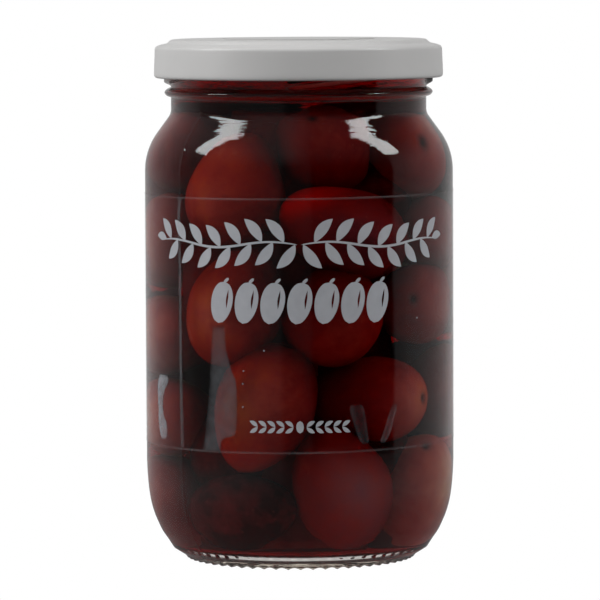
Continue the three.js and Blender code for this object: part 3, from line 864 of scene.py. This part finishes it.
def fruit(middle, width, height, degrees, steps=25):
    """A solid olive, an egg shape with a thin curved glint left open near its right side, and its stalk."""
    up = np.linspace(-1, 1, steps)
    half = width / 2 * np.sqrt(1 - up ** 2) * (1 + 0.08 * up)
    through = (up - GLINT_START) / (GLINT_END - GLINT_START)
    glint = 0.2 * np.clip(np.sin(math.pi * through), 0, 1) * (through > 0) * (through < 1)
    lean = np.array([math.sin(math.radians(degrees)), math.cos(math.radians(degrees))])
    axis = np.array(middle) + up[:, None] * height / 2 * lean
    top = axis[-1] + np.linspace(0, 1, 6)[:, None] * 1.3 * np.array([0.75, 0.66])
    return [laid_on_film(axis, -half, half * (GLINT_SIDE - glint) + 0.02, 7),
            laid_on_film(axis, half * GLINT_SIDE, half, 3),
            stem(np.vstack([axis[-1:] - 0.3 * lean, top]), 0.7)]


def branch_height(out):
    """Height of a branch at a distance from the middle: it sways as a sine."""
    return GARLAND_MIDDLE + GARLAND_SWAY * np.sin(out / GARLAND_BEND)


def garland():
    """Two olive branches that grow from the middle to either side, with leaves up and down in turn."""
    parts = []
    tip = GARLAND_REACH - 3.4
    for side in (-1, 1):
        out = np.linspace(0.4, GARLAND_REACH - 2.5, 60)
        parts.append(stem(np.stack([side * out, branch_height(out)], -1), STEM_WIDTH))
        for number in range(LEAVES):
            foot = LEAF_START + number * LEAF_PITCH
            length = LEAF_LENGTH - LEAF_SHRINK * number
            angle = LEAF_ANGLE if number % 2 else -LEAF_ANGLE
            parts.append(leaf((side * foot, branch_height(foot)), length, LEAF_WIDTH,
                              angle if side > 0 else 180 - angle))
        parts.append(leaf((side * tip, branch_height(tip)), 4.4, 1.9, 8 if side > 0 else 172))
    return parts


def fruit_row():
    """A row of bold solid olives, all leaning a little to the right."""
    parts = []
    first = -ROW_PITCH * (ROW_FRUITS - 1) / 2
    for number in range(ROW_FRUITS):
        middle = (first + number * ROW_PITCH, ROW_MIDDLE)
        parts += fruit(middle, FRUIT_WIDTH, FRUIT_HEIGHT, FRUIT_LEAN)
    return parts


def divider():
    """A small ornament: one olive with little leaves in pairs on either side."""
    up = np.linspace(-1, 1, 9)
    half = DIVIDER_WIDTH / 2 * np.sqrt(1 - up ** 2)
    parts = [laid_on_film(np.stack([np.zeros(9), DIVIDER_MIDDLE + DIVIDER_HEIGHT / 2 * up], -1), -half, half)]
    for side in (-1, 1):
        for number in range(DIVIDER_LEAVES):
            foot = side * (1.5 + DIVIDER_PITCH * number)
            for angle in (35, -35):
                parts.append(leaf((foot, DIVIDER_MIDDLE), 2.3, 0.95, angle if side > 0 else 180 - angle, 9))
    return parts


def make_print(name, parts):
    """Closed shapes of ink on the film, in one mesh."""
    places, faces, start = [], [], 0
    for part in parts:
        rows, columns = part.shape[:2]
        places.append(part.reshape(-1, 3))
        faces.append(grid_faces(rows, columns, True) + start)
        start += rows * columns
    ink = make_piece(name, np.vstack(places), np.vstack(faces), silver_ink(), smooth=False)
    return ink


def make_marks():
    """The milky marks and the specks: strips with outlines of their own, each as strong as its row says."""
    places, faces, strengths, start = [], [], [], 0
    for rows, strongest, soft in MARKS:
        columns = len(soft)
        outline = smooth_through(rows, 6 * len(rows))[::-1]
        middle = (outline[:, 1] + outline[:, 2]) / 2
        half = np.abs(outline[:, 2] - outline[:, 1]) / 2
        line = np.stack([np.full(len(outline), middle.mean()), outline[:, 0]], -1)
        shift = middle - middle.mean()
        strip = laid_on_film(line, shift - half, shift + half, columns)
        places.append(strip.reshape(-1, 3))
        faces.append(grid_faces(len(outline), 2 * columns, True) + start)
        weights = np.concatenate([soft, soft[::-1]])
        strengths.append((strongest * np.clip(outline[:, 3:], 0, 1) * weights).ravel())
        start += len(outline) * 2 * columns
    for around, height in SPECKS:
        speck = leaf((around, height), SPECK_LENGTH, SPECK_WIDTH, 90, 7)
        rows, columns = speck.shape[:2]
        places.append(speck.reshape(-1, 3))
        faces.append(grid_faces(rows, columns, True) + start)
        strengths.append(np.full(rows * columns, SPECK_STRENGTH))
        start += rows * columns
    marks = make_piece("film_marks", np.vstack(places), np.vstack(faces), paste_haze_and_painted_reflection(),
                       {"strength": np.concatenate(strengths)})
    return marks


def make_film():
    """A thin closed band: out along the outer face, over the upper edge and back down the inner face."""
    half = math.radians(FILM_HALF_TURN)
    seam = math.radians(SEAM_AZIMUTH)
    near = np.linspace(-2, 2, 17) / BODY_RADIUS
    azimuths = np.sort(np.concatenate([np.linspace(-half, half, 300), seam + near]))
    parts = np.concatenate([[0, 0.004], np.linspace(0.01, 0.99, 24), [0.996, 1]])
    radii = film_radius(azimuths) + np.zeros((len(parts), 1))
    heights = film_height(parts[:, None], azimuths[None, :])
    outer = turn(np.zeros((len(parts), 2)), azimuths, radii + FILM_THICKNESS, heights)
    inner = turn(np.zeros((len(parts), 2)), azimuths, radii, heights)
    places = np.concatenate([outer, inner[::-1], outer[:1]], 0)
    rows, columns = places.shape[:2]
    faces = grid_faces(rows, columns, False)
    side = np.arange(len(parts) - 1)
    near_edge = [np.stack([side * columns + column, (side + 1) * columns + column,
                           (2 * len(parts) - 2 - side) * columns + column,
                           (2 * len(parts) - 1 - side) * columns + column], -1)
                 for column in (0, columns - 1)]
    faces = np.vstack([faces, near_edge[0][:, ::-1], near_edge[1]])
    edge = np.zeros(places.shape[:2])
    at_edge = (parts < EDGE_PART) | (parts > 1 - EDGE_PART)
    edge[np.concatenate([at_edge, at_edge[::-1], [True]])] = 1
    film = make_piece("film", places, faces, clear_film(), {"edge": edge})
    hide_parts("label_film")
    return film


def soft_box(name, direction, distance, width, height, power, in_gloss):
    """An area lamp at a distance from the jar in a direction, facing it. in_gloss lets gloss mirror it."""
    lamp = bpy.data.lights.new(name, "AREA")
    lamp.shape = "RECTANGLE"
    lamp.size = width
    lamp.size_y = height
    lamp.energy = power
    box = bpy.data.objects.new(name, lamp)
    towards = Vector(direction).normalized()
    box.location = JAR_MIDDLE + towards * distance
    box.rotation_euler = (-towards).to_track_quat("-Z", "Y").to_euler()
    box.visible_glossy = in_gloss
    box.visible_camera = False
    box.visible_transmission = False
    bpy.context.collection.objects.link(box)
    return box


def kinds_of_ray(tree):
    """One where a ray came through glass, and one where it was last mirrored by something."""
    path = add_node(tree, "ShaderNodeLightPath")
    through = path.outputs["Is Transmission Ray"]
    mirrored = add_node(tree, "ShaderNodeMath", {0: path.outputs["Is Glossy Ray"], 1: through},
                        operation="SUBTRACT", use_clamp=True)
    return through, mirrored.outputs[0]


def white_floor():
    """White paper, bright enough to read as the background.

    Gloss mirrors it as grey, brighter at the sides, and only near the jar. A ray that leaves through the
    front of the jar without lighting an olive sees it nearly black: painted shade on the floor in front.
    """
    material, tree = new_material("white_paper_floor")
    place = add_node(tree, "ShaderNodeTexCoord").outputs["Object"]
    away = add_node(tree, "ShaderNodeVectorMath", {0: place}, operation="LENGTH").outputs["Value"]
    through, mirrored = kinds_of_ray(tree)
    across = add_node(tree, "ShaderNodeSeparateXYZ", {"Vector": place})
    scattered = add_node(tree, "ShaderNodeLightPath").outputs["Diffuse Depth"]
    # Painted shade: a ray through the jar that has not yet scattered sees the floor in front nearly black.
    painted_shade = add_node(tree, "ShaderNodeMapRange", {
        "Value": scattered, "To Min": FLOOR_PAINTED_SHADE, "To Max": FLOOR_THROUGH})
    behind_jar = add_node(tree, "ShaderNodeMapRange", {
        "Value": across.outputs["Y"], "From Min": -0.04, "From Max": 0.0,
        "To Min": painted_shade.outputs[0], "To Max": FLOOR_THROUGH})
    aside = add_node(tree, "ShaderNodeMath", {0: across.outputs["X"]}, operation="ABSOLUTE")
    under_sides = add_node(tree, "ShaderNodeMapRange", {
        "Value": aside.outputs[0], "From Min": 0.02, "From Max": 0.1,
        "To Min": FLOOR_MIRRORED, "To Max": FLOOR_MIRRORED_ASIDE})
    seen_through = add_node(tree, "ShaderNodeMapRange", {
        "Value": through, "To Min": 1.0, "To Max": behind_jar.outputs[0]})
    strength = add_node(tree, "ShaderNodeMix", {
        "Factor": mirrored, "A": seen_through.outputs[0], "B": under_sides.outputs[0]})
    light = add_node(tree, "ShaderNodeEmission", {
        "Color": linear("#ffffff"), "Strength": strength.outputs["Result"]})
    far = add_node(tree, "ShaderNodeMapRange", {"Value": away, "From Min": 0.08, "From Max": 0.3})
    open_part = add_node(tree, "ShaderNodeMath", {0: far.outputs[0], 1: mirrored}, operation="MULTIPLY")
    nothing = add_node(tree, "ShaderNodeBsdfTransparent")
    finish_material(tree, add_node(tree, "ShaderNodeMixShader", {
        0: open_part.outputs[0], 1: light.outputs[0], 2: nothing.outputs[0]}))
    return material


def make_studio():
    """A plain white floor, two strip soft boxes overhead left and right, two fills and a surround."""
    mesh = bpy.data.meshes.new("floor")
    reach = FLOOR_REACH
    mesh.from_pydata([(-reach, -reach, 0), (reach, -reach, 0), (reach, reach, 0), (-reach, reach, 0)],
                     [], [(0, 1, 2, 3)])
    mesh.materials.append(white_floor())
    floor = bpy.data.objects.new("floor", mesh)
    bpy.context.collection.objects.link(floor)
    floor.visible_diffuse = False

    for lamp in LAMPS:
        soft_box(*lamp)
    make_surround()


def make_surround():
    """The studio round the jar: white to the camera, pale behind and dark in front to what glass lets in.

    The walls that only gloss mirrors go by azimuth from the front: black on the front right, dark grey on
    the front left and paler from either side to the back, under a ceiling of its own grey on each side.
    """
    world = bpy.data.worlds.new("studio")
    bpy.context.scene.world = world
    world.use_nodes = True
    tree = world.node_tree
    tree.nodes.clear()
    direction = add_node(tree, "ShaderNodeTexCoord").outputs["Generated"]
    split = add_node(tree, "ShaderNodeSeparateXYZ", {"Vector": direction})
    through, mirrored = kinds_of_ray(tree)
    backdrop = add_node(tree, "ShaderNodeMapRange", {
        "Value": through, "To Min": BACKDROP_LIGHT, "To Max": BACKDROP_THROUGH})
    behind = add_node(tree, "ShaderNodeMapRange", {
        "Value": split.outputs["Y"], "From Min": -0.2, "From Max": 0.3, "To Min": LIGHT_IN_FRONT,
        "To Max": backdrop.outputs[0]})
    front = add_node(tree, "ShaderNodeMath", {0: split.outputs["Y"], 1: -1.0}, operation="MULTIPLY")
    azimuth = add_node(tree, "ShaderNodeMath", {0: split.outputs["X"], 1: front.outputs[0]},
                       operation="ARCTAN2")
    turn_part = add_node(tree, "ShaderNodeMapRange", {
        "Value": azimuth.outputs[0], "From Min": -math.pi, "From Max": math.pi})
    walls = add_node(tree, "ShaderNodeValToRGB", {"Fac": turn_part.outputs[0]})
    ramp = walls.color_ramp
    for end in ramp.elements:
        end.color = (WALL_BEHIND, WALL_BEHIND, WALL_BEHIND, 1)
    for degrees, grey in MIRRORED_WALLS:
        ramp.elements.new((degrees + 180) / 360).color = (grey, grey, grey, 1)
    high = add_node(tree, "ShaderNodeMapRange", {
        "Value": split.outputs["Z"], "From Min": 0.25, "From Max": 0.6})
    ceiling = add_node(tree, "ShaderNodeMapRange", {
        "Value": split.outputs["X"], "From Min": -0.1, "From Max": 0.15, "To Min": CEILING_LEFT,
        "To Max": CEILING_RIGHT})
    mirrored_room = add_node(tree, "ShaderNodeMix", {
        "Factor": high.outputs[0], "A": walls.outputs[0], "B": ceiling.outputs[0]}, data_type="RGBA")
    in_gloss = add_node(tree, "ShaderNodeBackground", {"Color": mirrored_room.outputs["Result"]})
    plain = add_node(tree, "ShaderNodeBackground", {"Strength": behind.outputs[0]})
    white = add_node(tree, "ShaderNodeBackground", {"Color": linear("#ffffff"), "Strength": 1.0})
    lit = add_node(tree, "ShaderNodeMixShader", {0: mirrored, 1: plain.outputs[0], 2: in_gloss.outputs[0]})
    camera_ray = add_node(tree, "ShaderNodeLightPath").outputs["Is Camera Ray"]
    sky = add_node(tree, "ShaderNodeMixShader", {0: camera_ray, 1: lit.outputs[0], 2: white.outputs[0]})
    add_node(tree, "ShaderNodeOutputWorld", {"Surface": sky.outputs[0]})


def make_camera():
    """The photograph's view: from the front, a little above, with a long lens."""
    camera = bpy.data.cameras.new("camera")
    camera.lens = CAMERA_LENS
    camera.sensor_width = 36
    camera.clip_start = 0.01
    view = bpy.data.objects.new("camera", camera)
    view.location = (CAMERA_RIGHT * MM, -CAMERA_BACK * MM, CAMERA_HEIGHT * MM)
    matrix = rotation(0, 90 - math.degrees(CAMERA_PITCH)) @ rotation(2, -math.degrees(CAMERA_ROLL))
    view.rotation_euler = Matrix(matrix.tolist()).to_euler()
    bpy.context.collection.objects.link(view)
    bpy.context.scene.camera = view


bpy.context.scene.view_settings.view_transform = "Standard"
# The thick foot leads light from behind by many reflections.
bpy.context.scene.cycles.glossy_bounces = 16
bpy.context.scene.cycles.transmission_bounces = 24
bpy.context.scene.cycles.max_bounces = 32
make_camera()
make_studio()
for piece in (make_jar(), make_brine(), make_olives(), make_lid(), make_film(), make_marks(),
              make_print("print_garland", garland()), make_print("print_fruit_row", fruit_row()),
              make_print("print_divider", divider())):
    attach(piece, "root")
